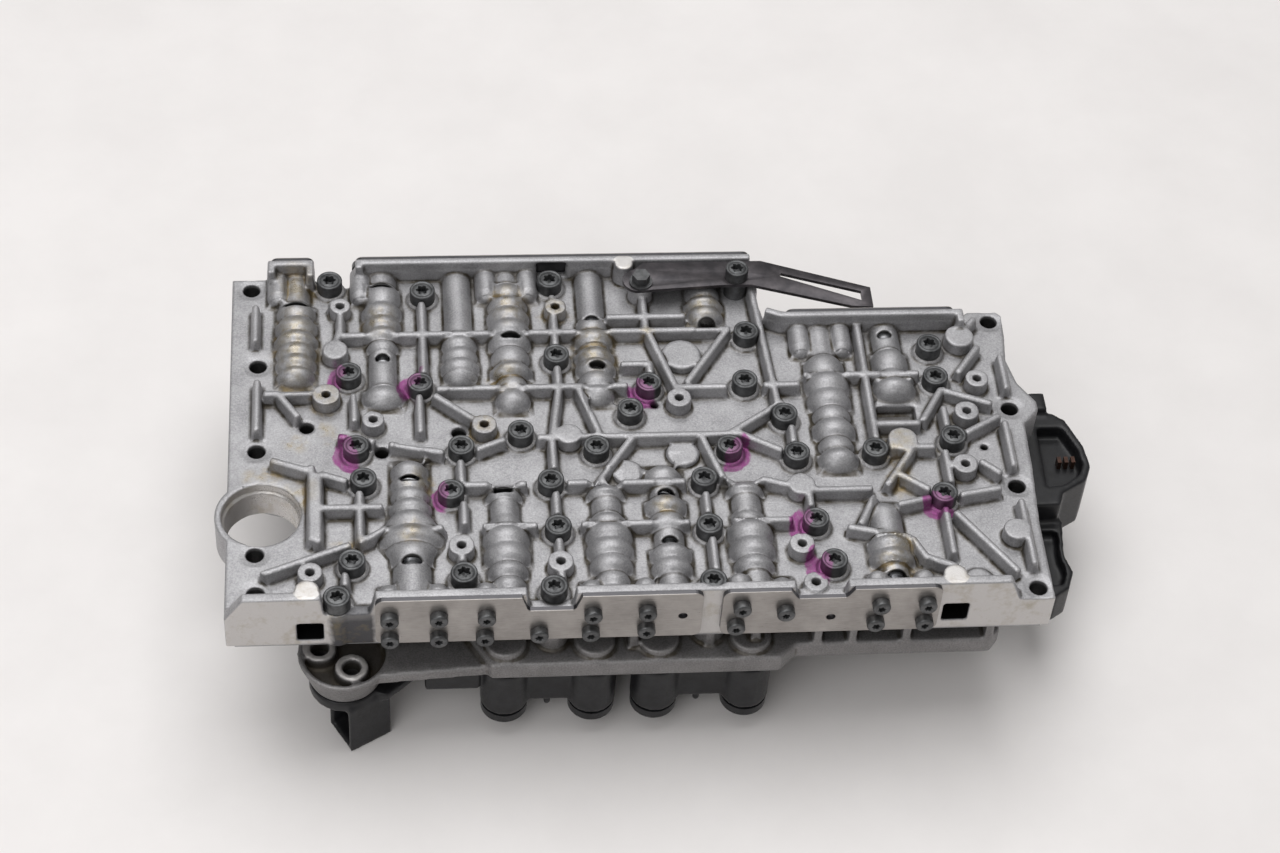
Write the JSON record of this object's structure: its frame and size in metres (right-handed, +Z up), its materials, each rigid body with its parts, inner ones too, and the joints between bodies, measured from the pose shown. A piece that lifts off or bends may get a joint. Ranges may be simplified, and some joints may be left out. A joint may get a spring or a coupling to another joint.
{
  "type": "transmission valve body",
  "caption": "Ribbed cast valve housing with lying sliding valves, bolted over a lower housing that carries a black control module with solenoid valves.",
  "frame": {"origin": "centre of the box on the surface that the unit rests on", "axes": "+X along the front face to the sensor tower, +Y to the rear covers, +Z up through the ribbed side"},
  "size_m": [0.3356, 0.1858, 0.0846],
  "materials": {
    "cast_upper": "as cast, fine grain",
    "cast_lower": "as cast, fine grain",
    "plate_steel": "rolled",
    "cover_steel": "brushed",
    "screw_steel": "black phosphate",
    "bolt_steel": "black phosphate",
    "blued_steel": "blued",
    "bright_steel": "ground",
    "module_plastic": "moulded",
    "case_plastic": "moulded",
    "solenoid_black": "moulded",
    "contact_copper": "tarnished copper"
  },
  "bodies": {
    "housing": {"upper_valve_housing": "cast_upper", "separator_plate": "plate_steel", "lower_valve_housing": "cast_lower", "front_cover_left": "cover_steel", "front_cover_right": "cover_steel", "rear_cover_left": "cover_steel", "rear_cover_middle": "cover_steel", "rear_cover_right": "cover_steel", "housing_screws": "screw_steel", "front_cover_bolts": "bolt_steel", "rear_cover_bolts": "bolt_steel", "detent_leaf_spring": "blued_steel", "leaf_standoff": "bolt_steel", "leaf_screw": "screw_steel", "leaf_hex_bolt": "bolt_steel", "check_balls": "bright_steel", "dowel_pins": "bright_steel", "control_module": "module_plastic", "sensor_contacts": "contact_copper", "electronics_case": "case_plastic", "module_screws": "bolt_steel", "spring_1": "bright_steel", "spring_2": "bright_steel", "spring_3": "bright_steel", "spring_4": "bright_steel", "spring_5": "bright_steel", "spring_6": "bright_steel", "spring_7": "bright_steel", "spring_8": "bright_steel", "spring_9": "bright_steel", "spring_10": "bright_steel", "spring_11": "bright_steel", "spring_12": "bright_steel", "spring_13": "bright_steel", "spring_14": "bright_steel", "solenoid_1": "solenoid_black", "solenoid_2": "solenoid_black", "solenoid_3": "solenoid_black", "solenoid_4": "solenoid_black", "solenoid_5": "solenoid_black", "solenoid_6": "solenoid_black", "solenoid_7": "solenoid_black", "solenoid_8": "solenoid_black"},
    "spool_1": {"spool_1": "bright_steel"},
    "spool_2": {"spool_2": "bright_steel"},
    "spool_3": {"spool_3": "bright_steel"},
    "spool_4": {"spool_4": "bright_steel"},
    "spool_5": {"spool_5": "bright_steel"},
    "spool_6": {"spool_6": "bright_steel"},
    "spool_7": {"spool_7": "bright_steel"},
    "spool_8": {"spool_8": "bright_steel"},
    "spool_9": {"spool_9": "bright_steel"},
    "spool_10": {"spool_10": "bright_steel"},
    "spool_11": {"spool_11": "bright_steel"},
    "spool_12": {"spool_12": "bright_steel"},
    "spool_13": {"spool_13": "bright_steel"},
    "spool_14": {"spool_14": "bright_steel"}
  },
  "joints": [
    {"name": "spool_1_slide", "type": "slide", "parent": "housing", "child": "spool_1", "axis": [0, -1, 0], "range_m": [0, 0.005], "stiffness_N_per_m": 400, "springref_m": -0.004, "deforming": ["spring_1"]},
    {"name": "spool_2_slide", "type": "slide", "parent": "housing", "child": "spool_2", "axis": [0, -1, 0], "range_m": [0, 0.005], "stiffness_N_per_m": 400, "springref_m": -0.004, "deforming": ["spring_2"]},
    {"name": "spool_3_slide", "type": "slide", "parent": "housing", "child": "spool_3", "axis": [0, -1, 0], "range_m": [0, 0.005], "stiffness_N_per_m": 400, "springref_m": -0.004, "deforming": ["spring_3"]},
    {"name": "spool_4_slide", "type": "slide", "parent": "housing", "child": "spool_4", "axis": [0, -1, 0], "range_m": [0, 0.005], "stiffness_N_per_m": 400, "springref_m": -0.004, "deforming": ["spring_4"]},
    {"name": "spool_5_slide", "type": "slide", "parent": "housing", "child": "spool_5", "axis": [0, -1, 0], "range_m": [0, 0.005], "stiffness_N_per_m": 400, "springref_m": -0.004, "deforming": ["spring_5"]},
    {"name": "spool_6_slide", "type": "slide", "parent": "housing", "child": "spool_6", "axis": [0, -1, 0], "range_m": [0, 0.005], "stiffness_N_per_m": 400, "springref_m": -0.004, "deforming": ["spring_6"]},
    {"name": "spool_7_slide", "type": "slide", "parent": "housing", "child": "spool_7", "axis": [0, -1, 0], "range_m": [0, 0.005], "stiffness_N_per_m": 400, "springref_m": -0.004, "deforming": ["spring_7"]},
    {"name": "spool_8_slide", "type": "slide", "parent": "housing", "child": "spool_8", "axis": [0, -1, 0], "range_m": [0, 0.005], "stiffness_N_per_m": 400, "springref_m": -0.004, "deforming": ["spring_8"]},
    {"name": "spool_9_slide", "type": "slide", "parent": "housing", "child": "spool_9", "axis": [0, 1, 0], "range_m": [0, 0.005], "stiffness_N_per_m": 400, "springref_m": -0.004, "deforming": ["spring_9"]},
    {"name": "spool_10_slide", "type": "slide", "parent": "housing", "child": "spool_10", "axis": [0, 1, 0], "range_m": [0, 0.005], "stiffness_N_per_m": 400, "springref_m": -0.004, "deforming": ["spring_10"]},
    {"name": "spool_11_slide", "type": "slide", "parent": "housing", "child": "spool_11", "axis": [0, 1, 0], "range_m": [0, 0.005], "stiffness_N_per_m": 400, "springref_m": -0.004, "deforming": ["spring_11"]},
    {"name": "spool_12_slide", "type": "slide", "parent": "housing", "child": "spool_12", "axis": [0, 1, 0], "range_m": [0, 0.005], "stiffness_N_per_m": 400, "springref_m": -0.004, "deforming": ["spring_12"]},
    {"name": "spool_13_slide", "type": "slide", "parent": "housing", "child": "spool_13", "axis": [0, 1, 0], "range_m": [0, 0.005], "stiffness_N_per_m": 400, "springref_m": -0.004, "deforming": ["spring_13"]},
    {"name": "spool_14_slide", "type": "slide", "parent": "housing", "child": "spool_14", "axis": [0, 1, 0], "range_m": [0, 0.005], "stiffness_N_per_m": 400, "springref_m": -0.004, "deforming": ["spring_14"]}
  ]
}
